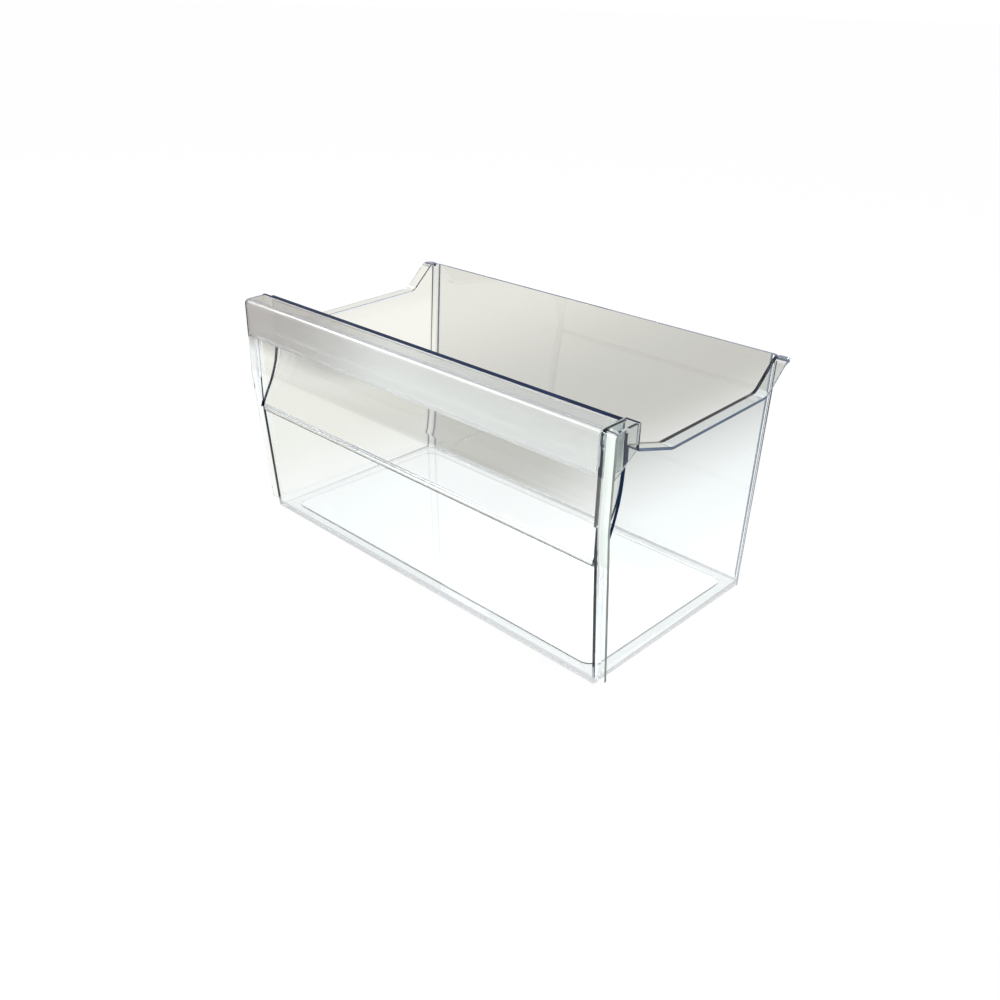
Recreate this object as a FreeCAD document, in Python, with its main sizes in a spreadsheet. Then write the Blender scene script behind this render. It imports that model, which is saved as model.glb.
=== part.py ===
import FreeCAD, Part
import Sketcher
import math
import os
import re

doc = FreeCAD.newDocument("freezer_drawer")
sheet = doc.addObject("Spreadsheet::Sheet", "sizes")

# Driving sizes of the drawer, in millimetres. Depths are counted back from the front plane
# of the handle rail, heights up from the surface that the drawer stands on.
SIZES = {
    # the whole drawer
    "overall_width": 430,
    "overall_depth": 229.5,
    "overall_height": 214,
    "bond_gap": 0.2,
    # tray: one clear moulding, with a front wall that stops at a seam below the handle recess
    "rim_reach": 10,
    "tray_wall": 2.5,
    "back_drop": 2,
    "back_lean": 7.8,
    "front_foot": 11.7,
    "front_seat": 2.7,
    "seam_height": 107,
    "corner_outside": 8,
    "floor_thickness": 2.5,
    "floor_fillet": 4,
    "foot_border": 13,
    "foot_rise": 1.2,
    "foot_corner": 11,
    # the outward rim along the tops of the side walls, which dips in the middle; its drops are
    # counted down from the top of the back wall, its runs forward from the back edge
    "rim_thickness": 2.5,
    "rim_start": 27.6,
    "rim_front_drop": 17,
    "rim_dip_at": 69,
    "rim_dip_drop": 28.5,
    "rim_climb_run": 33.5,
    "rim_climb_drop": 23.5,
    "rim_crest_run": 8.5,
    "rim_bend": 12,
    "rim_crest_bend": 7,
    "rim_corner": 5.2,
    # tongue along the seam, and the bead of the front panel that sits on it
    "tongue_thickness": 1,
    "tongue_height": 2.4,
    "tongue_inset": 0.5,
    "nose_reach": 1.6,
    "nose_rise": 3,
    "nose_radius": 1.2,
    "bead_depth": 3.9,
    # front panel: the curved back of the handle recess
    "panel_wall": 2.5,
    "panel_face": 22.4,
    "panel_bulge": 25.6,
    "panel_bend_drop": 20,
    "panel_bend": 60,
    # handle rail: an open channel with a rolled front lip
    "rail_height": 36,
    "rail_wall": 2.5,
    "rail_depth": 22.1,
    "front_drop": 1.2,
    "lip_land": 1.1,
    "lip_radius": 4.5,
    "lip_inside_radius": 2,
    "hook_thickness": 2.5,
    "soft_edge": 0.6,
    # end cheeks: the strips that finish the front edges of the side walls
    "cheek_wall": 2.5,
    "cheek_bend": 30,
    "cheek_lift": 7,
    "lap_thickness": 2.2,
    "lap_depth": 5,
    "pocket_depth": 27.3,
    "pocket_back_height": 19.5,
}

for row, (alias, length) in enumerate(SIZES.items(), start=1):
    sheet.set(f"A{row}", alias)
    sheet.set(f"B{row}", str(length))
    sheet.setAlias(f"B{row}", alias)
doc.recompute()


def tied(expression):
    """The expression, with each size in it taken from the list above."""
    return re.sub(r"\b([a-z][a-z_]*)\b(?!\()", r"sizes.\1", expression)


def size(expression):
    return float(sheet.evalExpression(tied(expression)))


def plane_of(body, role):
    return next(plane for plane in body.Origin.OriginFeatures if plane.Role == role)


def new_body(label):
    """An empty piece. The drawer's origin lies under the middle of its box, on the surface."""
    body = doc.addObject("PartDesign::Body", label)
    body.Label = label
    body.setExpression("Placement.Base.y", tied("-overall_depth / 2"))
    return body


def pin_point(sketch, shape, end, corner):
    """Fix one point of an outline by its sizes across and up."""
    for kind, expression in zip(("DistanceX", "DistanceY"), corner):
        index = sketch.addConstraint(Sketcher.Constraint(kind, -1, 1, shape, end, size(expression)))
        sketch.setExpression(f"Constraints[{index}]", tied(expression))


def rounded_corner(before, corner, after, radius):
    """Where a rounding leaves the run before a corner, where it joins the next, and its centre."""
    back = (before - corner).normalize()
    ahead = (after - corner).normalize()
    half_angle = back.getAngle(ahead) / 2
    reach = radius / math.tan(half_angle)
    middle = (back + ahead).normalize()
    return corner + back * reach, corner + ahead * reach, corner + middle * (radius / math.sin(half_angle))


def outline(body, name, role, corners, station="0"):
    """A closed outline of straight runs. A corner is (across, up) or (across, up, rounding)."""
    sketch = body.newObject("Sketcher::SketchObject", name)
    sketch.AttachmentSupport = (plane_of(body, role), [""])
    sketch.MapMode = "FlatFace"
    sketch.setExpression("AttachmentOffset.Base.z", tied(station))
    points = [FreeCAD.Vector(size(corner[0]), size(corner[1]), 0) for corner in corners]
    count = len(points)
    leaves, joins, centres = list(points), list(points), [None] * count
    for i, corner in enumerate(corners):
        if len(corner) == 3:
            before, after = points[i - 1], points[(i + 1) % count]
            leaves[i], joins[i], centres[i] = rounded_corner(before, points[i], after, size(corner[2]))
    for i in range(count):
        sketch.addGeometry(Part.LineSegment(joins[i], leaves[(i + 1) % count]), False)
    for i, corner in enumerate(corners):
        run_in, run_out = (i - 1) % count, i
        if centres[i] is None:
            sketch.addConstraint(Sketcher.Constraint("Coincident", run_in, 2, run_out, 1))
            pin_point(sketch, run_out, 1, corner)
            continue
        radius = size(corner[2])
        start, finish = leaves[i] - centres[i], joins[i] - centres[i]
        turns_left = start.cross(finish).z > 0
        first, last = (start, finish) if turns_left else (finish, start)
        circle = Part.Circle(centres[i], FreeCAD.Vector(0, 0, 1), radius)
        angles = math.atan2(first.y, first.x), math.atan2(last.y, last.x)
        arc = sketch.addGeometry(Part.ArcOfCircle(circle, *angles), False)
        entry, leaving = (1, 2) if turns_left else (2, 1)
        tip = sketch.addGeometry(Part.Point(points[i]), True)
        sketch.addConstraint(Sketcher.Constraint("Tangent", run_in, 2, arc, entry))
        sketch.addConstraint(Sketcher.Constraint("Tangent", arc, leaving, run_out, 1))
        sketch.addConstraint(Sketcher.Constraint("PointOnObject", tip, 1, run_in))
        sketch.addConstraint(Sketcher.Constraint("PointOnObject", tip, 1, run_out))
        rounding = sketch.addConstraint(Sketcher.Constraint("Radius", arc, radius))
        sketch.setExpression(f"Constraints[{rounding}]", tied(corner[2]))
        pin_point(sketch, tip, 1, corner)
    doc.recompute()
    return sketch


def pad(body, name, sketch, length, symmetric=False):
    feature = body.newObject("PartDesign::Pad", name)
    feature.Profile = sketch
    feature.SideType = "Symmetric" if symmetric else "One side"
    feature.setExpression("Length", tied(length))
    doc.recompute()
    return feature


def pocket(body, name, sketch, length, symmetric=False, backwards=False):
    """Cut the outline out of the piece; the cut must take something away."""
    volume = body.Shape.Volume
    feature = body.newObject("PartDesign::Pocket", name)
    feature.Profile = sketch
    feature.SideType = "Symmetric" if symmetric else "One side"
    feature.Reversed = backwards
    feature.setExpression("Length", tied(length))
    doc.recompute()
    if body.Shape.Volume >= volume:
        raise RuntimeError(f"{name} cuts nothing")
    return feature


def fillet(body, name, picked, radius):
    """Round the edges of the piece for which picked(edge) holds."""
    base = body.Tip
    edges = [f"Edge{i}" for i, edge in enumerate(base.Shape.Edges, start=1) if picked(edge)]
    if not edges:
        raise RuntimeError(f"{name} finds no edge")
    feature = body.newObject("PartDesign::Fillet", name)
    feature.Base = (base, edges)
    feature.setExpression("Radius", tied(radius))
    doc.recompute()
    return feature


def mirror(body, name, features):
    """Repeat features on the other side of the drawer's middle plane."""
    feature = body.newObject("PartDesign::Mirrored", name)
    feature.Originals = features
    feature.MirrorPlane = (plane_of(body, "YZ_Plane"), [""])
    body.Tip = feature
    doc.recompute()
    return feature


# Places that more than one piece shares
TRAY_WIDTH = "(overall_width - 2 * rim_reach)"
INSIDE_WIDTH = f"({TRAY_WIDTH} - 2 * tray_wall)"
BACK_HEIGHT = "(overall_height - back_drop)"
FRONT_SLOPE = "((front_foot - front_seat) / seam_height)"
BACK_SLOPE = f"(back_lean / {BACK_HEIGHT})"
BACK_FOOT = "(overall_depth - back_lean)"
NOSE_HEIGHT = "(seam_height + nose_rise)"
RAIL_FOOT = "(overall_height - rail_height)"
BEND_HEIGHT = f"({RAIL_FOOT} - panel_bend_drop)"
RAIL_FRONT_TOP = "(overall_height - front_drop)"
RAIL_END = f"({INSIDE_WIDTH} / 2)"
LIP_REACH = "(lip_radius + lip_land)"
CHEEK_INSIDE = f"({INSIDE_WIDTH} / 2 + bond_gap)"


def rim_line(drop="0"):
    """The top of a side wall from front to back, or a line that runs a little below it."""
    top = f"{BACK_HEIGHT} - {drop}"
    return [
        ("rim_start", f"{top} - rim_front_drop"),
        ("rim_dip_at", f"{top} - rim_dip_drop", "rim_bend"),
        ("overall_depth - rim_climb_run", f"{top} - rim_climb_drop", "rim_bend"),
        ("overall_depth - rim_crest_run", top, "rim_crest_bend"),
        ("overall_depth", top),
    ]


def make_tray():
    """Floor, three full walls with an outward rim, and the low leaning front wall."""
    tray = new_body("tray")
    side = [
        ("front_foot", "0"),
        ("front_seat", "seam_height"),
        ("front_seat", f"{RAIL_FOOT} - 2 * bond_gap"),
        ("rim_start", f"{RAIL_FOOT} - 2 * bond_gap"),
        *rim_line(),
        (BACK_FOOT, "0"),
    ]
    pad(tray, "block", outline(tray, "side_view", "YZ_Plane", side), TRAY_WIDTH, symmetric=True)
    fillet(tray, "back_corners", back_corner, "corner_outside")
    tongue_front = "front_seat + tongue_inset"
    tongue_top = "seam_height + tongue_height"
    above = "overall_height + 20"
    inside = [
        (f"front_foot + tray_wall - {FRONT_SLOPE} * floor_thickness", "floor_thickness"),
        ("front_seat + tray_wall", "seam_height"),
        (f"{tongue_front} + tongue_thickness", "seam_height"),
        (f"{tongue_front} + tongue_thickness", tongue_top),
        (tongue_front, tongue_top),
        (tongue_front, "seam_height"),
        ("-20", "seam_height"),
        ("-20", above),
        (f"overall_depth - tray_wall + {BACK_SLOPE} * ({above} - {BACK_HEIGHT})", above),
        (f"{BACK_FOOT} - tray_wall + {BACK_SLOPE} * floor_thickness", "floor_thickness"),
    ]
    pocket(tray, "hollow", outline(tray, "inside_view", "YZ_Plane", inside), INSIDE_WIDTH, symmetric=True)
    fillet(tray, "inside_corners", inside_back_corner, "corner_outside - tray_wall")
    fillet(tray, "floor_bend", floor_edge, "floor_fillet")
    half = f"{TRAY_WIDTH} / 2 - foot_border"
    front, back = "front_foot + foot_border", f"{BACK_FOOT} - foot_border"
    panel = [
        (f"-({half})", front, "foot_corner"),
        (half, front, "foot_corner"),
        (half, back, "foot_corner"),
        (f"-({half})", back, "foot_corner"),
    ]
    pad(tray, "raised_floor", outline(tray, "floor_top", "XY_Plane", panel, "floor_thickness"), "foot_rise")
    pocket(tray, "foot_recess", outline(tray, "floor_under", "XY_Plane", panel), "foot_rise", backwards=True)
    flange = [*rim_line(), *reversed(rim_line("rim_thickness"))]
    start = f"{TRAY_WIDTH} / 2 - tray_wall / 2"
    profile = outline(tray, "rim_view", "YZ_Plane", flange, start)
    rim = pad(tray, "rim", profile, f"overall_width / 2 - ({start})")
    mirror(tray, "both_rims", [rim])
    fillet(tray, "rim_corners", rim_corner, "rim_corner")
    return tray


def back_corner(edge):
    """The upright outside edges at the back of the tray."""
    box = edge.BoundBox
    upright = box.ZLength > size(BACK_HEIGHT) / 2 and box.XLength < 0.01
    return upright and box.YMax > size("overall_depth") - 0.1


def rim_corner(edge):
    """The short upright edges at the back ends of the rims."""
    box = edge.BoundBox
    upright = box.XLength < 0.01 and box.YLength < 0.01 and box.YMin > size("overall_depth") - 0.1
    return upright and abs(abs(box.Center.x) - size("overall_width / 2")) < 0.01


def inside_back_corner(edge):
    """The upright inside edges at the back of the tray."""
    box = edge.BoundBox
    upright = box.ZLength > size(BACK_HEIGHT) / 2 and box.XLength < 0.01
    inside = abs(abs(box.Center.x) - size(INSIDE_WIDTH) / 2) < 0.01
    return upright and inside and box.YMax > size("overall_depth - tray_wall") - 0.5


def floor_edge(edge):
    """The edges all round the floor inside."""
    box = edge.BoundBox
    return box.ZLength < 0.01 and abs(box.ZMin - size("floor_thickness")) < 0.01


def make_front_panel():
    """The S-shaped sheet behind the handle, whose bead sits on the tongue of the tray."""
    panel = new_body("front_panel")
    slope = f"((panel_bulge - nose_reach) / ({BEND_HEIGHT} - {NOSE_HEIGHT}))"
    behind = f"(panel_wall * sqrt(1 + {slope} * {slope}))"
    foot = "seam_height + bond_gap"
    top = "overall_height - hook_thickness - bond_gap"
    groove_front = "front_seat + tongue_inset - bond_gap"
    groove_back = "front_seat + tongue_inset + tongue_thickness + bond_gap"
    groove_top = "seam_height + tongue_height + bond_gap"
    bead_back = "nose_reach + bead_depth"
    shape = [
        ("panel_face", top, "soft_edge"),
        ("panel_bulge", BEND_HEIGHT, "panel_bend"),
        ("nose_reach", NOSE_HEIGHT, "nose_radius"),
        ("nose_reach", foot),
        (groove_front, foot),
        (groove_front, groove_top),
        (groove_back, groove_top),
        (groove_back, foot),
        (bead_back, foot),
        (bead_back, f"{NOSE_HEIGHT} + (bead_depth - {behind}) / {slope}", "nose_radius"),
        ("panel_bulge + panel_wall", f"{BEND_HEIGHT} + (panel_wall - {behind}) / {slope}",
         "panel_bend - panel_wall"),
        ("panel_face + panel_wall", top, "soft_edge"),
    ]
    width = f"{INSIDE_WIDTH} - 3 * bond_gap"
    pad(panel, "sheet", outline(panel, "s_profile", "YZ_Plane", shape), width, symmetric=True)
    return panel


def lip_profile():
    """The rolled front lip and front wall that the rail and the right cheek share, from the lip down."""
    return [
        ("0", RAIL_FRONT_TOP, "lip_radius"),
        (LIP_REACH, RAIL_FRONT_TOP, "soft_edge"),
        (LIP_REACH, f"{RAIL_FRONT_TOP} - rail_wall", "soft_edge"),
        ("rail_wall", f"{RAIL_FRONT_TOP} - rail_wall", "lip_inside_radius"),
    ]


def end_wall(depth, wall):
    """The closed end of a channel, rounded like the lip at its front. Its back is in the back wall."""
    return [
        ("0", RAIL_FOOT),
        ("0", RAIL_FRONT_TOP, "lip_radius"),
        (LIP_REACH, RAIL_FRONT_TOP),
        (f"{depth} - {wall} / 2", "overall_height - soft_edge"),
        (f"{depth} - {wall} / 2", RAIL_FOOT),
    ]


def make_handle_rail():
    """The channel across the front that the fingers pull, hooked over the front panel."""
    rail = new_body("handle_rail")
    start = "-overall_width / 2"
    channel = [
        ("0", RAIL_FOOT),
        *lip_profile(),
        ("rail_wall", f"{RAIL_FOOT} + rail_wall", "soft_edge"),
        ("rail_depth - rail_wall", f"{RAIL_FOOT} + rail_wall", "soft_edge"),
        ("rail_depth - rail_wall", "overall_height", "soft_edge"),
        ("rail_depth", "overall_height"),
        ("rail_depth", RAIL_FOOT),
    ]
    length = f"{RAIL_END} + overall_width / 2"
    pad(rail, "channel", outline(rail, "channel_view", "YZ_Plane", channel, start), length)
    end = end_wall("rail_depth", "rail_wall")
    pad(rail, "left_end", outline(rail, "left_end_view", "YZ_Plane", end, start), "rail_wall")
    inner = outline(rail, "right_end_view", "YZ_Plane", end, f"{RAIL_END} - rail_wall")
    pad(rail, "right_end", inner, "rail_wall")
    hook_back = "panel_face + panel_wall + bond_gap"
    hook = [
        ("rail_depth - rail_wall / 2", "overall_height - hook_thickness"),
        ("rail_depth - rail_wall / 2", "overall_height"),
        (hook_back, "overall_height", "soft_edge"),
        (hook_back, "overall_height - hook_thickness"),
    ]
    hook_view = outline(rail, "hook_view", "YZ_Plane", hook, f"-{TRAY_WIDTH} / 2")
    pad(rail, "hook", hook_view, f"{TRAY_WIDTH} / 2 + {RAIL_END}")
    return rail


def make_right_cheek():
    """Strip down the right front edge, with the narrow open pocket beside the rail at its top."""
    cheek = new_body("right_end_cheek")
    add_strip(cheek, 1)
    inner, outer = CHEEK_INSIDE, "overall_width / 2"
    back_foot = "overall_height - pocket_back_height"
    end = end_wall("pocket_depth", "cheek_wall")
    pad(cheek, "partition", outline(cheek, "partition_view", "YZ_Plane", end, inner), "cheek_wall")
    front = [("0", RAIL_FOOT), *lip_profile(), ("rail_wall", RAIL_FOOT)]
    pad(cheek, "front", outline(cheek, "front_view", "YZ_Plane", front, inner), f"{outer} - {inner}")
    ear = [*end[:-1], ("pocket_depth - cheek_wall / 2", back_foot), ("cheek_wall", RAIL_FOOT)]
    pad(cheek, "ear", outline(cheek, "ear_view", "YZ_Plane", ear, f"{outer} - cheek_wall"), "cheek_wall")
    back = [
        ("pocket_depth - cheek_wall", back_foot),
        ("pocket_depth - cheek_wall", "overall_height", "soft_edge"),
        ("pocket_depth", "overall_height", "soft_edge"),
        ("pocket_depth", back_foot),
    ]
    pad(cheek, "back", outline(cheek, "back_view", "YZ_Plane", back, inner), f"{outer} - {inner}")
    return cheek


def make_left_cheek():
    """Strip down the left front edge; the rail runs on over its top."""
    cheek = new_body("left_end_cheek")
    add_strip(cheek, -1)
    return cheek


def add_strip(cheek, hand):
    """The strip of one cheek: upright, then bent back beside the side wall until it is flush with
    the front wall of the tray and leans with it. It stops a little above the surface."""
    outside = f"{TRAY_WIDTH} / 2 + bond_gap"
    top = RAIL_FOOT if hand > 0 else f"{RAIL_FOOT} - bond_gap"
    bend = f"{NOSE_HEIGHT} + cheek_bend"
    foot = f"front_foot - {FRONT_SLOPE} * cheek_lift"
    upper = [("0", bend), ("0", top), ("cheek_wall", top), ("cheek_wall", bend)]
    lower = [
        ("0", f"{bend} + cheek_wall"),
        ("cheek_wall", f"{bend} + cheek_wall"),
        ("cheek_wall", bend),
        ("front_seat + cheek_wall", NOSE_HEIGHT),
        (f"{foot} + cheek_wall", "cheek_lift"),
        (foot, "cheek_lift"),
        ("front_seat", NOSE_HEIGHT),
        ("0", bend),
    ]
    lap = [
        ("cheek_wall / 2", top),
        ("cheek_wall + lap_depth", f"{top} - 2 * bond_gap"),
        ("cheek_wall + lap_depth", bend),
        ("front_seat + cheek_wall + lap_depth", NOSE_HEIGHT),
        (f"{foot} + cheek_wall + lap_depth", "cheek_lift"),
        (f"{foot} + cheek_wall / 2", "cheek_lift"),
        ("front_seat + cheek_wall / 2", NOSE_HEIGHT),
        ("cheek_wall / 2", bend),
    ]
    for name, shape, inner, outer in (
        ("upper_strip", upper, CHEEK_INSIDE, "overall_width / 2"),
        ("lower_strip", lower, outside, "overall_width / 2"),
        ("lap", lap, outside, f"{outside} + lap_thickness"),
    ):
        station = inner if hand > 0 else f"-({outer})"
        pad(cheek, name, outline(cheek, f"{name}_view", "YZ_Plane", shape, station), f"{outer} - ({inner})")


pieces = [make_tray(), make_front_panel(), make_handle_rail(), make_left_cheek(), make_right_cheek()]
doc.recompute()

for item in doc.Objects:
    if {"Invalid", "Error"} & set(item.State):
        raise RuntimeError(f"{item.Name} failed: {item.State}")
os.makedirs("parts", exist_ok=True)
for piece in pieces:
    if piece.Shape.isNull() or not piece.Shape.isValid() or len(piece.Shape.Solids) != 1:
        raise RuntimeError(f"{piece.Label} is not one sound solid")
for piece in pieces:
    piece.Shape.exportStep(f"parts/{piece.Label}.step")
    box = piece.Shape.BoundBox
    print(piece.Label, round(piece.Shape.Volume / 1000, 1), "cm3", [round(value, 1) for value in (
        box.XMin, box.XMax, box.YMin, box.YMax, box.ZMin, box.ZMax)])
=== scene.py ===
import math

import bmesh
import bpy
from mathutils import Matrix, Vector


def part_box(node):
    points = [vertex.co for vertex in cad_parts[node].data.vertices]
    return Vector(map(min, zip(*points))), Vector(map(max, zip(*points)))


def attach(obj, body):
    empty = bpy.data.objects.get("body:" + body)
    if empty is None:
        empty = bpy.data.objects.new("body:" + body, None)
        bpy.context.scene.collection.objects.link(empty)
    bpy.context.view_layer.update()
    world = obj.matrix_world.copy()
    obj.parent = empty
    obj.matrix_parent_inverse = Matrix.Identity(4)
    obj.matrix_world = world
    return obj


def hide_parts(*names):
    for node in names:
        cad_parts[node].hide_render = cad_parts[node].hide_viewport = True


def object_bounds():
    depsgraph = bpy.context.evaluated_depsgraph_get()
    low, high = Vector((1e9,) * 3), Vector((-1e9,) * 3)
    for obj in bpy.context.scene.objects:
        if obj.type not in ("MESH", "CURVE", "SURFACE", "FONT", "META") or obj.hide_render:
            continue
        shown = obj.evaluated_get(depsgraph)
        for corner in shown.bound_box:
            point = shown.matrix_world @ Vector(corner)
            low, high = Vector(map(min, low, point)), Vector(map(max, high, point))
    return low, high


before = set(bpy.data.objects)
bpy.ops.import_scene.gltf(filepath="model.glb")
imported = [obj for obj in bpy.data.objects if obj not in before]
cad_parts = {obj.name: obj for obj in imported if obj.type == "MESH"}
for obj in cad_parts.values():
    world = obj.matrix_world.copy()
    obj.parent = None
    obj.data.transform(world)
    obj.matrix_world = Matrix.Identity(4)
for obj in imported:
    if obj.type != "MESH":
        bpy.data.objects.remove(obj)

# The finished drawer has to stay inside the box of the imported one.
packed_low, packed_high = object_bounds()
mm = 0.001
front_plane = packed_low.y
drawer_depth = (packed_high.y - packed_low.y) / mm
drawer_half = packed_high.x / mm
drawer_height = packed_high.z / mm


# TRAY
# One injection moulding in clear polystyrene: floor, back, two sides with an outward rim that
# dips in the middle, and a front wall that stops at the seam with a thin tongue along its top.
# Its inside corners are soft, its foot is a flat border round a floor raised a little.


def side_view_bar(outline, x_from, x_to):
    """A solid bar across the drawer with this side view.
    A corner of it is (back, up), or (back, up, radius) where it is rounded."""
    bar = bmesh.new()
    points = [Vector((x_from * mm, front_plane + corner[0] * mm, corner[1] * mm)) for corner in outline]
    side = bar.faces.new([bar.verts.new(point) for point in points])
    swept = bmesh.ops.extrude_face_region(bar, geom=[side])
    moved = [item for item in swept["geom"] if isinstance(item, bmesh.types.BMVert)]
    bmesh.ops.translate(bar, verts=moved, vec=((x_to - x_from) * mm, 0, 0))
    for i, corner in enumerate(outline):
        if len(corner) == 3:
            round_long_edge(bar, points[i - 1], points[i], points[(i + 1) % len(points)], corner[2] * mm)
    bmesh.ops.recalc_face_normals(bar, faces=bar.faces)
    return bar


def round_long_edge(bar, before, corner, after, radius):
    """Round the edge that runs across the drawer at this corner of the side view."""
    turn = math.pi - (before - corner).angle(after - corner)
    edge = next(e for e in bar.edges if all((v.co.yz - corner.yz).length < 0.01 * mm for v in e.verts))
    steps = max(3, round(math.degrees(turn) / 9))
    if radius > 20 * mm:
        steps = max(steps, round(radius * turn / (1.5 * mm)))
    bmesh.ops.bevel(
        bar, geom=[edge], offset=radius * math.tan(turn / 2), affect="EDGES",
        segments=steps, profile=0.5, material=-1,
    )


def as_object(mesh_in_work, name):
    mesh = bpy.data.meshes.new(name)
    mesh_in_work.to_mesh(mesh)
    mesh_in_work.free()
    piece = bpy.data.objects.new(name, mesh)
    bpy.context.scene.collection.objects.link(piece)
    return piece


def settle(piece):
    """Put the result of the piece's modifiers into its mesh."""
    bpy.context.view_layer.update()
    solved = piece.evaluated_get(bpy.context.evaluated_depsgraph_get())
    mesh = bpy.data.meshes.new_from_object(solved)
    piece.modifiers.clear()
    piece.data = mesh


def combine(piece, other_in_work, operation):
    """Cut another solid out of the piece, or mould it on."""
    other = as_object(other_in_work, "working_solid")
    step = piece.modifiers.new("combine", "BOOLEAN")
    step.object = other
    step.operation = operation
    step.solver = "EXACT"
    settle(piece)
    bpy.data.objects.remove(other)


def finish_edges(piece, radius, cuts=()):
    """Break every sharp edge as a polished mould does, and shade flats flat and rounds smooth.
    A cut is a place in mm and a direction, and divides faces whose parts look different."""
    work = bmesh.new()
    work.from_mesh(piece.data)
    bmesh.ops.remove_doubles(work, verts=work.verts, dist=0.01 * mm)
    bmesh.ops.dissolve_limit(work, angle_limit=math.radians(0.5), verts=work.verts, edges=work.edges)
    bmesh.ops.remove_doubles(work, verts=work.verts, dist=0.03 * mm)
    for place, direction in cuts:
        everything = work.verts[:] + work.edges[:] + work.faces[:]
        bmesh.ops.bisect_plane(
            work, geom=everything, plane_co=place * mm * Vector(direction), plane_no=direction
        )
    work.to_mesh(piece.data)
    work.free()
    soften = piece.modifiers.new("soft_edges", "BEVEL")
    soften.width = radius * mm
    soften.segments = 2
    soften.limit_method = "ANGLE"
    soften.angle_limit = math.radians(32)
    soften.miter_outer = "MITER_ARC"
    settle(piece)
    mesh = piece.data
    mesh.name = piece.name
    mesh.shade_smooth()
    around = {}
    for face in mesh.polygons:
        for corner in face.vertices:
            around.setdefault(corner, []).append((face.normal.copy(), face.area))
    normals = []
    for face in mesh.polygons:
        for corner in face.vertices:
            blended = Vector()
            for normal, area in around[corner]:
                if normal.dot(face.normal) > math.cos(math.radians(50)):
                    blended += normal * area
            normals.append(blended.normalized())
    mesh.normals_split_custom_set(normals)


def add_node(material, kind, inputs=None, **settings):
    """Add a node to a material, with its settings and its linked or plain inputs."""
    node = material.node_tree.nodes.new(kind)
    for name, value in settings.items():
        setattr(node, name, value)
    for socket, value in (inputs or {}).items():
        if isinstance(value, bpy.types.NodeSocket):
            material.node_tree.links.new(value, node.inputs[socket])
        else:
            node.inputs[socket].default_value = value
    return node


def colour(hex_code):
    """An sRGB hex colour as linear red, green, blue and alpha."""
    parts = [int(hex_code[i:i + 2], 16) / 255 for i in (1, 3, 5)]
    return [c / 12.92 if c < 0.04045 else ((c + 0.055) / 1.055) ** 2.4 for c in parts] + [1.0]


def clear_polystyrene(name, tint, body_tint, body_density, roughness, clearness=1.0):
    """Clear polystyrene as moulded: glossy, IOR 1.59, with a cold cast that only long ways
    through the plastic show, so that walls are clear and their edges go dark blue."""
    material = bpy.data.materials.new(name)
    material.use_nodes = True
    nodes = material.node_tree.nodes
    nodes.clear()
    place = add_node(material, "ShaderNodeTexCoord")
    flow = add_node(
        material, "ShaderNodeTexNoise",
        {"Vector": place.outputs["Object"], "Scale": 1 / (60 * mm), "Detail": 1.0},
    )
    waves = add_node(
        material, "ShaderNodeBump",
        {"Height": flow.outputs["Fac"], "Strength": 0.1, "Distance": 0.3 * mm},
    )
    plastic = add_node(
        material, "ShaderNodeBsdfPrincipled",
        {
            "Base Color": colour(tint), "Roughness": roughness, "IOR": 1.59,
            "Transmission Weight": clearness, "Normal": waves.outputs["Normal"],
        },
    )
    path = add_node(material, "ShaderNodeLightPath")
    lit = add_node(material, "ShaderNodeBsdfTransparent", {"Color": colour("#eef2f2")})
    mix = add_node(
        material, "ShaderNodeMixShader",
        {0: path.outputs["Is Shadow Ray"], 1: plastic.outputs["BSDF"], 2: lit.outputs["BSDF"]},
    )
    inside = add_node(
        material, "ShaderNodeVolumeAbsorption", {"Color": colour(body_tint), "Density": body_density}
    )
    out = add_node(material, "ShaderNodeOutputMaterial", {"Surface": mix.outputs["Shader"]})
    material.node_tree.links.new(inside.outputs["Volume"], out.inputs["Volume"])
    return material


def painted_edge_look(name, dark, light, opacity):
    """Painted light and shade on narrow faces of the same plastic. On the cut-off edges it is painted
    shade: light that has run the length of a wall comes out there, so they are painted deep blue,
    with lighter stretches a few centimetres long; in light colours it is a painted reflection."""
    material = bpy.data.materials.new(name)
    material.use_nodes = True
    material.node_tree.nodes.clear()
    place = add_node(material, "ShaderNodeTexCoord")
    stretches = add_node(
        material, "ShaderNodeTexNoise",
        {"Vector": place.outputs["Object"], "Scale": 1 / (35 * mm), "Detail": 2.0},
    )
    blue = add_node(
        material, "ShaderNodeMix",
        {"Factor": stretches.outputs["Fac"], 6: colour(dark), 7: colour(light)}, data_type="RGBA",
    )
    plastic = add_node(
        material, "ShaderNodeBsdfPrincipled",
        {
            "Base Color": blue.outputs[2], "Roughness": 0.15, "IOR": 1.59, "Specular IOR Level": 0.02,
            "Alpha": opacity,
        },
    )
    add_node(material, "ShaderNodeOutputMaterial", {"Surface": plastic.outputs["BSDF"]})
    return material


def mark_faces(piece, material, is_marked):
    """Give the faces for which is_marked(centre in mm from the front plane, normal) holds this look."""
    piece.data.materials.append(material)
    for face in piece.data.polygons:
        centre = (face.center - Vector((0, front_plane, 0))) / mm
        if is_marked(centre, face.normal):
            face.material_index = len(piece.data.materials) - 1


rim_reach, wall, bond_gap = 10, 2.5, 0.2
tray_half = drawer_half - rim_reach
back_height, back_lean = 212, 7.8
front_foot, front_seat, seam = 11.7, 2.7, 107
rail_foot = drawer_height - 36
rim_start = 27.6
rim_top = [
    (rim_start, 195),
    (69, 183.5, 12),
    (196, 188.5, 12),
    (221, back_height, 7),
    (drawer_depth, back_height),
]
back_foot = drawer_depth - back_lean
block = side_view_bar(
    [
        (front_foot, 0), (front_seat, seam),
        (front_seat, rail_foot - 2 * bond_gap), (rim_start, rail_foot - 2 * bond_gap),
        *rim_top, (back_foot, 0),
    ],
    -tray_half, tray_half,
)
outer_corner, inner_corner, floor_fillet, rim_corner = 8, 5.5, 4, 5.2


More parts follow.
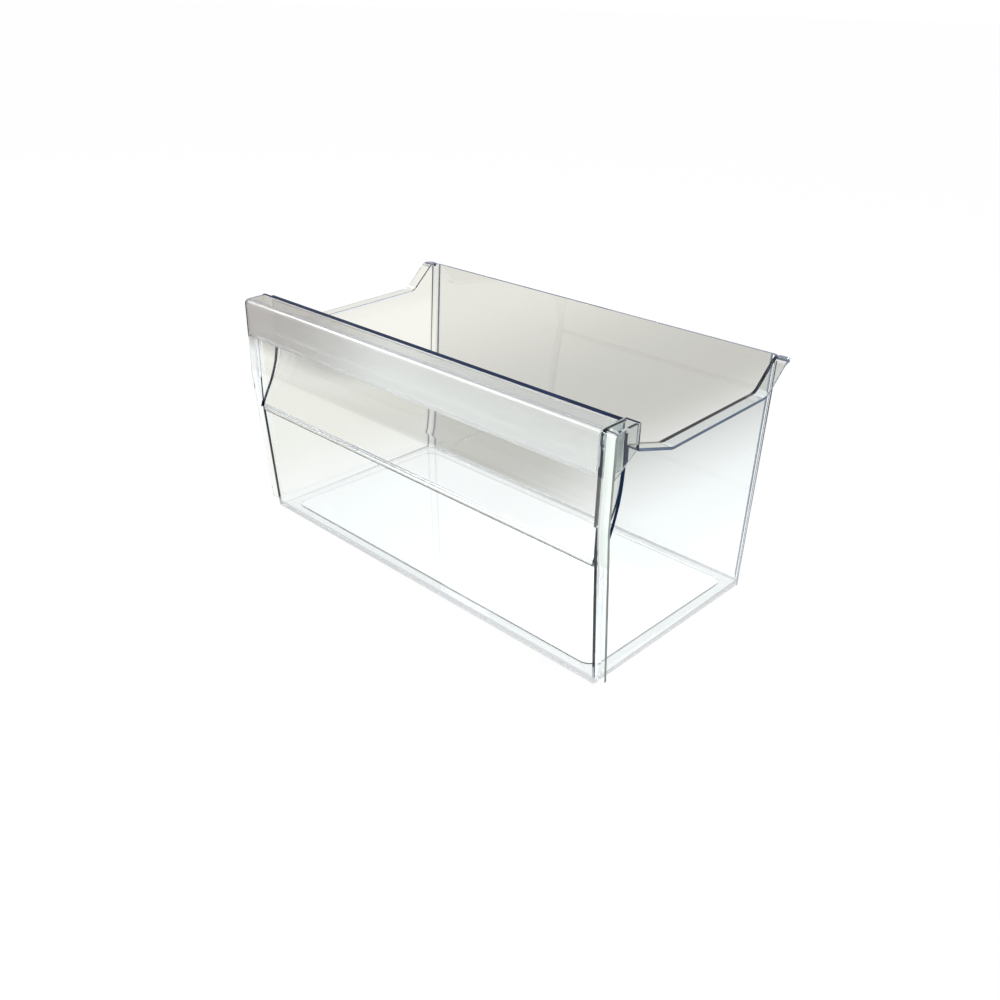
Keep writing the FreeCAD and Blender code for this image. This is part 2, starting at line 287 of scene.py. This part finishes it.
def round_back_corners(solid, radius, segments):
    """Round the two upright edges at the back."""
    upright = [
        e for e in solid.edges
        if abs(e.verts[0].co.x - e.verts[1].co.x) < 0.01 * mm
        and abs(e.verts[0].co.z - e.verts[1].co.z) > 150 * mm
        and min(v.co.y for v in e.verts) > 0
    ]
    bmesh.ops.bevel(
        solid, geom=upright, offset=radius * mm, affect="EDGES", segments=segments, profile=0.5, material=-1
    )


round_back_corners(block, outer_corner, 8)
tray = as_object(block, "tray_moulding")
front_slope, back_slope = (front_foot - front_seat) / seam, back_lean / back_height
floor = 2.5
tongue_front, tongue, tongue_height, above = front_seat + 0.5, 1, 2.4, drawer_height + 20
hollow = side_view_bar(
    [
        (front_foot + wall - front_slope * floor, floor, floor_fillet),
        (front_seat + wall, seam), (tongue_front + tongue, seam),
        (tongue_front + tongue, seam + tongue_height), (tongue_front, seam + tongue_height),
        (tongue_front, seam), (-20, seam), (-20, above),
        (drawer_depth - wall + back_slope * (above - back_height), above),
        (back_foot - wall + back_slope * floor, floor),
    ],
    -(tray_half - wall), tray_half - wall,
)
round_back_corners(hollow, inner_corner, 7)
floor_edges = [
    e for e in hollow.edges
    if all(abs(v.co.z - floor * mm) < 0.01 * mm for v in e.verts)
    and not all(v.co.y < front_plane + 30 * mm for v in e.verts)
]
bmesh.ops.bevel(
    hollow, geom=floor_edges, offset=floor_fillet * mm, affect="EDGES", segments=5, profile=0.5, material=-1
)
combine(tray, hollow, "DIFFERENCE")


def floor_panel(z_from, z_to):
    """The rounded rectangle inside the foot border, between two heights."""
    border, radius = 13, 11
    work = bmesh.new()
    half = (tray_half - border) * mm
    near, far = front_plane + (front_foot + border) * mm, front_plane + (back_foot - border) * mm
    corners = [(-half, near), (half, near), (half, far), (-half, far)]
    face = work.faces.new([work.verts.new((x, y, z_from * mm)) for x, y in corners])
    swept = bmesh.ops.extrude_face_region(work, geom=[face])
    moved = [item for item in swept["geom"] if isinstance(item, bmesh.types.BMVert)]
    bmesh.ops.translate(work, verts=moved, vec=(0, 0, (z_to - z_from) * mm))
    upright = [e for e in work.edges if abs(e.verts[0].co.z - e.verts[1].co.z) > 0.1 * mm]
    bmesh.ops.bevel(
        work, geom=upright, offset=radius * mm, affect="EDGES", segments=10, profile=0.5, material=-1
    )
    bmesh.ops.recalc_face_normals(work, faces=work.faces)
    return work


foot_rise = 1.2
combine(tray, floor_panel(floor - 0.5, floor + foot_rise), "UNION")
combine(tray, floor_panel(-1, foot_rise), "DIFFERENCE")
rim_under = [(corner[0], corner[1] - wall, *corner[2:]) for corner in rim_top]
rim = rim_top + rim_under[::-1]
rim_inside = tray_half - wall / 2
for hand in (-1, 1):
    flange = side_view_bar(rim, *sorted((hand * rim_inside, hand * drawer_half)))
    back_end = [
        e for e in flange.edges
        if all(abs(v.co.x) > (drawer_half - 0.1) * mm and v.co.y > packed_high.y - 0.1 * mm for v in e.verts)
    ]
    bmesh.ops.bevel(
        flange, geom=back_end, offset=rim_corner * mm, affect="EDGES", segments=7, profile=0.5, material=-1
    )
    combine(tray, flange, "UNION")
finish_edges(tray, 0.3)
tray_plastic = clear_polystyrene("clear_polystyrene_tray", "#fcfefd", "#5f93cf", 11.0, 0.015)
tray.data.materials.append(tray_plastic)
# Painted shade: colours for the dark lines that light makes along the edges of the clear plastic.
navy_edge = painted_edge_look("painted_shade_edge_navy", "#050c22", "#1c3256", 1.0)
pale_edge = painted_edge_look("painted_shade_edge_pale", "#46536e", "#8592a3", 0.8)
# Painted reflection: a near-opaque bright colour for strip faces that mirror a bright light.
strip_reflection = painted_edge_look("painted_reflection_strip", "#dfece4", "#f6fbf7", 0.8)
light_edge = painted_edge_look("painted_shade_edge_light", "#5c6157", "#a6aea8", 0.9)
upright_turn = math.sin(math.radians(12))
# Painted shade: the back wall's top, the rim's outer edge and the rounds of the back corners are painted dark
# grey for the dark lines that light makes along them.
mark_faces(
    tray, pale_edge,
    lambda centre, normal: (normal.z > 0.7 and centre.z > 211 and abs(centre.x) < tray_half - wall - 1)
    or (normal.x > 0.7 and centre.x > drawer_half - 0.3)
    or (centre.y > 200 and 20 < centre.z < 205 and abs(centre.x) > tray_half - 9
        and (0.05 < abs(normal.x) < upright_turn or 0.06 < abs(normal.y) < upright_turn)),
)
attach(tray, "root")
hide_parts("tray")


# FRONT PANEL
# A sheet of the same clear polystyrene across the front, moulded as the curved back of the handle
# recess. Its beaded foot is grooved and bonded on the tray's tongue, its top edge is under the rail.
face_top, bulge, bend_height, bend_radius = 22.4, 25.6, 158, 60
nose_reach, nose_height, nose_radius, bead_depth, soft_edge = 1.6, 110, 1.2, 3.9, 0.6
panel_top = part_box("front_panel")[1].z / mm
panel_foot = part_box("front_panel")[0].z / mm
panel_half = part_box("front_panel")[1].x / mm
slope = (bulge - nose_reach) / (bend_height - nose_height)
behind = wall * math.sqrt(1 + slope * slope)
groove_front, groove_back = tongue_front - bond_gap, tongue_front + tongue + bond_gap
groove_top = seam + tongue_height + bond_gap
panel = as_object(
    side_view_bar(
        [
            (face_top, panel_top, soft_edge), (bulge, bend_height, bend_radius),
            (nose_reach, nose_height, nose_radius),
            (nose_reach, panel_foot), (groove_front, panel_foot), (groove_front, groove_top),
            (groove_back, groove_top), (groove_back, panel_foot), (nose_reach + bead_depth, panel_foot),
            (nose_reach + bead_depth, nose_height + (bead_depth - behind) / slope, nose_radius),
            (bulge + wall, bend_height + (wall - behind) / slope, bend_radius - wall),
            (face_top + wall, panel_top, soft_edge),
        ],
        -panel_half, panel_half,
    ),
    "recess_panel",
)
finish_edges(panel, 0.25)
panel_plastic = clear_polystyrene("clear_polystyrene_panel", "#f8f9f7", "#5f93cf", 11.0, 0.03)
panel.data.materials.append(panel_plastic)
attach(panel, "root")
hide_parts("front_panel")


# HANDLE RAIL
# An open channel in polystyrene with a light frost inside, which is why it reads grey against the
# clear pieces; towards its left end it is greyed further by painted shade. Its front lip is rolled
# back for the fingers, its back hooks over the front panel.
rail_low, rail_high = (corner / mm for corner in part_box("handle_rail"))
rail_depth, lip_radius, lip_reach = 22.1, 4.5, 5.6
rail_front_top = drawer_height - 1.2
hook_back, hook = face_top + wall + bond_gap, drawer_height - panel_top - bond_gap
lip = [
    (0, rail_front_top, lip_radius), (lip_reach, rail_front_top, soft_edge),
    (lip_reach, rail_front_top - wall, soft_edge), (wall, rail_front_top - wall, 2),
]
rail = as_object(
    side_view_bar(
        [
            (0, rail_foot), *lip, (wall, rail_foot + wall, soft_edge),
            (rail_depth - wall, rail_foot + wall, soft_edge), (rail_depth - wall, drawer_height, soft_edge),
            (rail_depth, drawer_height), (rail_depth, rail_foot),
        ],
        rail_low.x, rail_high.x,
    ),
    "handle_rail_channel",
)


def end_wall(depth):
    """Side view of the wall that closes a channel's end."""
    return [
        (0, rail_foot), (0, rail_front_top, lip_radius), (lip_reach, rail_front_top),
        (depth - wall / 2, drawer_height - soft_edge), (depth - wall / 2, rail_foot),
    ]


for start in (rail_low.x, rail_high.x - wall):
    combine(rail, side_view_bar(end_wall(rail_depth), start, start + wall), "UNION")
hook_view = [
    (rail_depth - wall / 2, drawer_height - hook), (rail_depth - wall / 2, drawer_height),
    (hook_back, drawer_height, soft_edge), (hook_back, drawer_height - hook),
]
combine(rail, side_view_bar(hook_view, -tray_half, rail_high.x), "UNION")
end_strip = 1.5
finish_edges(rail, 0.3, [(rail_low.x + end_strip, (1, 0, 0))])
rail_plastic = clear_polystyrene("frosted_polystyrene_rail", "#fafbfa", "#a5b0c0", 5.0, 0.16, 0.84)
# Painted shade: the base colour greys towards the left end of the rail, where the light falls off.
rail_spot = add_node(
    rail_plastic, "ShaderNodeSeparateXYZ", {0: add_node(rail_plastic, "ShaderNodeTexCoord").outputs["Object"]}
)
to_right = add_node(
    rail_plastic, "ShaderNodeMapRange",
    {"Value": rail_spot.outputs["X"], "From Min": -0.16, "From Max": -0.02},
    interpolation_type="SMOOTHSTEP",
)
rail_left_shade = add_node(
    rail_plastic, "ShaderNodeMix",
    {"Factor": to_right.outputs[0], 6: colour("#e2e0de"), 7: colour("#fafbfa")}, data_type="RGBA",
)
frosted = next(node for node in rail_plastic.node_tree.nodes if node.type == "BSDF_PRINCIPLED")
rail_plastic.node_tree.links.new(rail_left_shade.outputs[2], frosted.inputs["Base Color"])
rail.data.materials.append(rail_plastic)
# Painted light and shade: the right end face is painted bright as a reflection; the lip's inner face and the
# left end's top are painted dark grey, and the hook's top and the left end's outline dark blue, as painted
# shade along those edges.
mark_faces(rail, strip_reflection, lambda centre, normal: normal.x > 0.7 and centre.x > rail_high.x - 0.1)
mark_faces(
    rail, pale_edge,
    lambda centre, normal:
    (normal.y > 0.7 and abs(centre.y - lip_reach) < 0.3 and centre.z > rail_front_top - wall)
    or (normal.z > 0.7 and centre.x < rail_low.x + wall and lip_reach < centre.y < rail_depth - wall),
)
mark_faces(
    rail, navy_edge,
    lambda centre, normal:
    (normal.z > 0.5 and centre.z > drawer_height - 1 and centre.y > rail_depth - wall - 0.3)
    or (centre.x < rail_low.x + end_strip + 0.05 and normal.y < -0.7 and centre.z > rail_foot + 1),
)
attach(rail, "root")
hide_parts("handle_rail")


# END CHEEKS
# Two clear strips bonded down the front edges of the side walls, upright above the seam and
# leaning with the front wall below it. The right one carries a narrow open pocket beside the rail.
bend, lift = nose_height + 30, 7
foot = front_foot - front_slope * lift
lap, lap_depth, pocket_depth, strip_land = 2.2, 5, 27.3, 0.4
pocket_back_foot = drawer_height - 19.5
for hand, node in ((-1, "left_end_cheek"), (1, "right_end_cheek")):
    cheek_low, cheek_high = (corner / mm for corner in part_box(node))
    inner = cheek_low.x if hand > 0 else -cheek_high.x
    beside = tray_half + bond_gap
    top = rail_foot if hand > 0 else cheek_high.z
    strip = [(0, bend), (0, top), (wall, top), (wall, bend)]
    leaning = [
        (0, bend + wall), (wall, bend + wall), (wall, bend, 20), (front_seat + wall, nose_height, 20),
        (foot + wall, lift), (foot, lift), (front_seat, nose_height, 22), (0, bend, 22),
    ]
    lapped = [
        (wall / 2, top), (wall + lap_depth, top - 2 * bond_gap), (wall + lap_depth, bend, 20),
        (front_seat + wall + lap_depth, nose_height, 20), (foot + wall + lap_depth, lift),
        (foot + wall / 2, lift), (front_seat + wall / 2, nose_height), (wall / 2, bend),
    ]

    def bar(side_view, x_from, x_to):
        """A bar of this cheek, counted outwards from the middle of the drawer."""
        return side_view_bar(side_view, *sorted((hand * x_from, hand * x_to)))

    cheek = as_object(bar(strip, inner, drawer_half), node + "_moulding")
    combine(cheek, bar(leaning, beside, drawer_half), "UNION")
    combine(cheek, bar(lapped, beside + 0.3, beside + lap), "UNION")
    if hand > 0:
        side = end_wall(pocket_depth)
        ear = side[:-1] + [(pocket_depth - wall / 2, pocket_back_foot), (wall, rail_foot)]
        back_plate = [
            (pocket_depth - wall, pocket_back_foot), (pocket_depth - wall, drawer_height, soft_edge),
            (pocket_depth, drawer_height, soft_edge), (pocket_depth, pocket_back_foot),
        ]
        combine(cheek, bar(side, inner, inner + wall), "UNION")
        combine(cheek, bar([(0, rail_foot), *lip, (wall, rail_foot)], inner, drawer_half), "UNION")
        combine(cheek, bar(ear, drawer_half - wall, drawer_half), "UNION")
        combine(cheek, bar(back_plate, inner, drawer_half), "UNION")
    cuts = [(nose_height, (0, 0, 1))]
    if hand > 0:
        cuts += [(front_plane / mm + wall + strip_land, (0, 1, 0)), (beside + lap + bond_gap, (1, 0, 0))]
    finish_edges(cheek, 0.25, cuts)
    cheek.data.materials.append(tray_plastic)
    # Painted light and shade: the right strip's front above the nose is painted bright as a reflection, its
    # outer faces grey, and the pocket plate's top and underside and the cheek's face against the side wall
    # dark blue, as painted shade along those edges.
    if hand > 0:
        mark_faces(
            cheek, strip_reflection,
            lambda centre, normal: centre.z > nose_height and normal.y < -0.7
            and centre.x > beside + lap and centre.y < wall - 0.1,
        )
        mark_faces(
            cheek, light_edge,
            lambda centre, normal: normal.x > 0.7 and centre.x > drawer_half - 0.3
            and (centre.y < wall + strip_land or centre.z < rail_foot - 2),
        )
    dark_top = rail_foot if hand > 0 else nose_height
    mark_faces(
        cheek, navy_edge,
        lambda centre, normal:
        (normal.z > 0.5 and centre.z > drawer_height - 1 and centre.y > pocket_depth - wall - 0.3)
        or (hand > 0 and normal.z < -0.7
            and centre.y > pocket_depth - wall and centre.z > pocket_back_foot - 1)
        or (hand * normal.x < -0.7 and abs(centre.x) < beside + 0.1 and centre.z < dark_top),
    )
    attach(cheek, "root")
    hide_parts(node)


# PAINTED SHADE LINES
# Thin sheets painted dark blue along the curves where the front panel's ends meet the side walls.
# Painted shade: light from inside the panel comes out at its ends, so each shows as one dark blue curve.
shade_sheet_near, shade_sheet_far, upper_half_width = 0.02, 0.42, 1.35
shade_curve_right = [
    (23.3, 204.5), (23.3, 195), (25.4, 190), (25.7, 180), (25.2, 169), (24.5, 160),
    (22.8, 149.5), (20.2, 140), (17.4, 131), (13.6, 122), (9.2, 115), (5.4, 109),
]
shade_curve_left = [
    (24.0, 176), (22.6, 164), (20.4, 152), (17.4, 143), (13.9, 134.4), (8.4, 123.9), (3.4, 114.5),
    (1.9, 110),
]
for hand, name, centres, half_width in ((1, "right", shade_curve_right, 1.7), (-1, "left", shade_curve_left, 1.4)):
    half_widths = [half_width if z < pocket_back_foot else upper_half_width for _, z in centres]
    band = [(y - half, z) for (y, z), half in zip(centres, half_widths)]
    band += [(y + half, z) for (y, z), half in zip(centres[::-1], half_widths[::-1])]
    shade_sheet = as_object(
        side_view_bar(band, *sorted((hand * (tray_half + shade_sheet_near), hand * (tray_half + shade_sheet_far)))),
        "painted_shade_line_" + name,
    )
    finish_edges(shade_sheet, 0.05)
    shade_sheet.data.materials.append(navy_edge)
    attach(shade_sheet, "root")


# FLOOR AND LIGHT
# A plain white floor under even, soft studio light, with a long light at the front left that draws
# the line on the rolled lip. The floor also carries painted shade, grey tones for what is seen through
# the plastic laid out in metres behind and beside the drawer, and painted reflections, dimmer tones
# for what the plastic mirrors.
camera_foot = (0.5592, -0.5881, 0)
floor_mesh = bmesh.new()
bmesh.ops.create_grid(floor_mesh, x_segments=1, y_segments=1, size=60)
ground = as_object(floor_mesh, "floor")
paper = bpy.data.materials.new("white_paper_floor")
paper.use_nodes = True
paper.node_tree.nodes.clear()
spot = add_node(
    paper, "ShaderNodeSeparateXYZ", {0: add_node(paper, "ShaderNodeTexCoord").outputs["Object"]}
)
# Painted shade: grey zones behind and beside the drawer, and a warmer zone seen through the left side, which
# only rays through the plastic see.
behind_drawer = add_node(
    paper, "ShaderNodeMapRange",
    {"Value": spot.outputs["Y"], "From Min": 0.1, "From Max": 0.115}, interpolation_type="SMOOTHSTEP",
)
off_right = add_node(
    paper, "ShaderNodeMapRange",
    {"Value": spot.outputs["X"], "From Min": 0.12, "From Max": -0.12}, interpolation_type="SMOOTHSTEP",
)
off_left = add_node(
    paper, "ShaderNodeMapRange",
    {"Value": spot.outputs["X"], "From Min": -0.65, "From Max": -0.15, "To Min": 0.42},
    interpolation_type="SMOOTHSTEP",
)
across = add_node(
    paper, "ShaderNodeMath", {0: off_right.outputs[0], 1: off_left.outputs[0]}, operation="MULTIPLY"
)
from_lens = add_node(
    paper, "ShaderNodeVectorMath",
    {0: add_node(paper, "ShaderNodeTexCoord").outputs["Object"], 1: camera_foot}, operation="SUBTRACT",
)
beside_line = add_node(
    paper, "ShaderNodeVectorMath", {0: from_lens.outputs[0], 1: (0.534, 0.846, 0)}, operation="DOT_PRODUCT"
)
inside_view = add_node(
    paper, "ShaderNodeMapRange",
    {"Value": beside_line.outputs["Value"], "From Min": -0.008, "From Max": 0.0},
)
corner_line = add_node(
    paper, "ShaderNodeVectorMath", {0: from_lens.outputs[0], 1: (0.677, 0.736, 0)}, operation="DOT_PRODUCT"
)
left_share = add_node(
    paper, "ShaderNodeMapRange",
    {"Value": spot.outputs["Y"], "From Min": 0.12, "From Max": 0.38, "To Min": 0.5, "To Max": 0.12},
)
past_corner = add_node(
    paper, "ShaderNodeMapRange",
    {
        "Value": corner_line.outputs["Value"], "From Min": -0.012, "From Max": 0.004,
        "To Min": left_share.outputs[0], "To Max": 1.0,
    },
)
behind_walls = add_node(
    paper, "ShaderNodeMath", {0: behind_drawer.outputs[0], 1: past_corner.outputs[0]}, operation="MULTIPLY"
)
depth = add_node(
    paper, "ShaderNodeMath", {0: behind_walls.outputs[0], 1: across.outputs[0]}, operation="MULTIPLY"
)
band_left = add_node(
    paper, "ShaderNodeMapRange", {"Value": spot.outputs["X"], "From Min": -0.38, "From Max": -0.5}
)
band_near = add_node(
    paper, "ShaderNodeMapRange", {"Value": spot.outputs["Y"], "From Min": 0.14, "From Max": 0.18}
)
band_far = add_node(
    paper, "ShaderNodeMapRange", {"Value": spot.outputs["Y"], "From Min": 0.31, "From Max": 0.26}
)
band_side = add_node(
    paper, "ShaderNodeMath", {0: band_left.outputs[0], 1: band_near.outputs[0]}, operation="MULTIPLY"
)
band_patch = add_node(
    paper, "ShaderNodeMath", {0: band_side.outputs[0], 1: band_far.outputs[0]}, operation="MULTIPLY"
)
grey_share = add_node(
    paper, "ShaderNodeMath", {0: depth.outputs[0], 1: band_patch.outputs[0]}, operation="MAXIMUM"
)
far_left = add_node(
    paper, "ShaderNodeMapRange",
    {"Value": spot.outputs["X"], "From Min": -0.12, "From Max": -0.34}, interpolation_type="SMOOTHSTEP",
)
left_panel = add_node(
    paper, "ShaderNodeMath", {0: far_left.outputs[0], 1: inside_view.outputs[0]}, operation="MULTIPLY"
)
near_tone = add_node(
    paper, "ShaderNodeMix",
    {"Factor": left_panel.outputs[0], 6: colour("#ffffff"), 7: colour("#efebe2")}, data_type="RGBA",
)
tone = add_node(
    paper, "ShaderNodeMix",
    {"Factor": grey_share.outputs[0], 6: near_tone.outputs[2], 7: colour("#bbb8b1")}, data_type="RGBA",
)
seen = add_node(paper, "ShaderNodeLightPath")
matt = add_node(paper, "ShaderNodeBsdfPrincipled", {"Base Color": colour("#f4f4f4"), "Roughness": 0.9})
# Painted reflections: tones that only mirrored rays see, dimmer to the right and to the left, with a brighter
# patch in front of the drawer.
dim_right = add_node(
    paper, "ShaderNodeMapRange",
    {"Value": spot.outputs["X"], "From Min": 0.22, "From Max": 0.3, "To Min": 0.6, "To Max": 0.12},
)
dim_left = add_node(
    paper, "ShaderNodeMapRange",
    {"Value": spot.outputs["X"], "From Min": -0.5, "From Max": -0.25, "To Min": 0.3, "To Max": 1.0},
)
near_strip = add_node(
    paper, "ShaderNodeMapRange",
    {"Value": spot.outputs["X"], "From Min": -0.14, "From Max": -0.03, "To Min": 0.0, "To Max": 0.5},
)
in_front = add_node(
    paper, "ShaderNodeMath", {0: spot.outputs["Y"], 1: -0.12}, operation="LESS_THAN"
)
strip_patch = add_node(
    paper, "ShaderNodeMath", {0: near_strip.outputs[0], 1: in_front.outputs[0]}, operation="MULTIPLY"
)
mirror_tone = add_node(
    paper, "ShaderNodeMath", {0: dim_right.outputs[0], 1: dim_left.outputs[0], 2: strip_patch.outputs[0]},
    operation="MULTIPLY_ADD",
)
mirrored = add_node(
    paper, "ShaderNodeEmission", {"Color": colour("#ffffff"), "Strength": mirror_tone.outputs[0]}
)
bright = add_node(paper, "ShaderNodeEmission", {"Color": colour("#ffffff"), "Strength": 1.0})
# Painted light: what is seen through the plastic glows brighter than white towards the right and falls off
# beyond the right side.
side_lift = add_node(
    paper, "ShaderNodeMapRange",
    {"Value": spot.outputs["X"], "From Min": -0.05, "From Max": 0.08, "To Min": 1.14, "To Max": 1.27},
)
right_fall = add_node(
    paper, "ShaderNodeMapRange",
    {"Value": spot.outputs["X"], "From Min": 0.24, "From Max": 0.3, "To Min": 1.0, "To Max": 0.55},
)
tone_strength = add_node(
    paper, "ShaderNodeMath", {0: side_lift.outputs[0], 1: right_fall.outputs[0]}, operation="MULTIPLY"
)
toned = add_node(
    paper, "ShaderNodeEmission", {"Color": tone.outputs[2], "Strength": tone_strength.outputs[0]}
)
share = add_node(paper, "ShaderNodeMath", {0: seen.outputs["Is Camera Ray"], 1: 0.92}, operation="MULTIPLY")
open_view = add_node(
    paper, "ShaderNodeMixShader",
    {0: share.outputs[0], 1: matt.outputs["BSDF"], 2: bright.outputs["Emission"]},
)
reflected = add_node(
    paper, "ShaderNodeMixShader",
    {0: seen.outputs["Is Glossy Ray"], 1: open_view.outputs["Shader"], 2: mirrored.outputs["Emission"]},
)
floor_mix = add_node(
    paper, "ShaderNodeMixShader",
    {0: seen.outputs["Is Transmission Ray"], 1: reflected.outputs["Shader"], 2: toned.outputs["Emission"]},
)
add_node(paper, "ShaderNodeOutputMaterial", {"Surface": floor_mix.outputs["Shader"]})
ground.data.materials.append(paper)

world = bpy.data.worlds.new("studio")
bpy.context.scene.world = world
world.use_nodes = True
world.node_tree.nodes.clear()
sky_seen = add_node(world, "ShaderNodeLightPath")
only_mirrored = add_node(
    world, "ShaderNodeMath",
    {0: sky_seen.outputs["Is Glossy Ray"], 1: sky_seen.outputs["Is Transmission Ray"]}, operation="SUBTRACT",
)
sky_strength = add_node(
    world, "ShaderNodeMapRange", {"Value": only_mirrored.outputs[0], "To Min": 1.0, "To Max": 0.55}
)
white_sky = add_node(
    world, "ShaderNodeBackground", {"Color": colour("#ffffff"), "Strength": sky_strength.outputs[0]}
)
add_node(world, "ShaderNodeOutputWorld", {"Surface": white_sky.outputs["Background"]})


def softbox(name, place, width, height, power):
    lamp = bpy.data.lights.new(name, "AREA")
    lamp.shape = "RECTANGLE"
    lamp.size = width
    lamp.size_y = height
    lamp.energy = power
    holder = bpy.data.objects.new(name, lamp)
    bpy.context.scene.collection.objects.link(holder)
    holder.location = place
    holder.rotation_euler = (Vector((0, 0, 0.1)) - Vector(place)).to_track_quat("-Z", "Y").to_euler()


softbox("front_strip_light", (-1.3, -1.1, 1.3), 1.3, 0.25, 20)
softbox("fill_softbox", (1.3, 0.4, 1.2), 1.2, 1.2, 4)


# CAMERA
# The photograph's viewing angle: a 35 mm lens on a 36 mm sensor, solved from the drawer's edges.
# Its place is in mm, counted from the middle of the drawer's front plane.
image_width, focal_pixels = 1000, 972.7
azimuth, elevation, roll = math.radians(43.296), math.radians(27.116), math.radians(-1.459)
camera_back = (559.23, -473.33, 460.65)
camera_data = bpy.data.cameras.new("photo_camera")
camera_data.sensor_width = 36
camera_data.lens = 36 * focal_pixels / image_width
camera = bpy.data.objects.new("photo_camera", camera_data)
bpy.context.scene.collection.objects.link(camera)
turned = Matrix.Rotation(azimuth, 4, "Z") @ Matrix.Rotation(math.pi / 2 - elevation, 4, "X")
camera.matrix_world = (
    Matrix.Translation((camera_back[0] * mm, front_plane + camera_back[1] * mm, camera_back[2] * mm))
    @ turned @ Matrix.Rotation(-roll, 4, "Z")
)
bpy.context.scene.camera = camera
bpy.context.scene.view_settings.view_transform = "Standard"
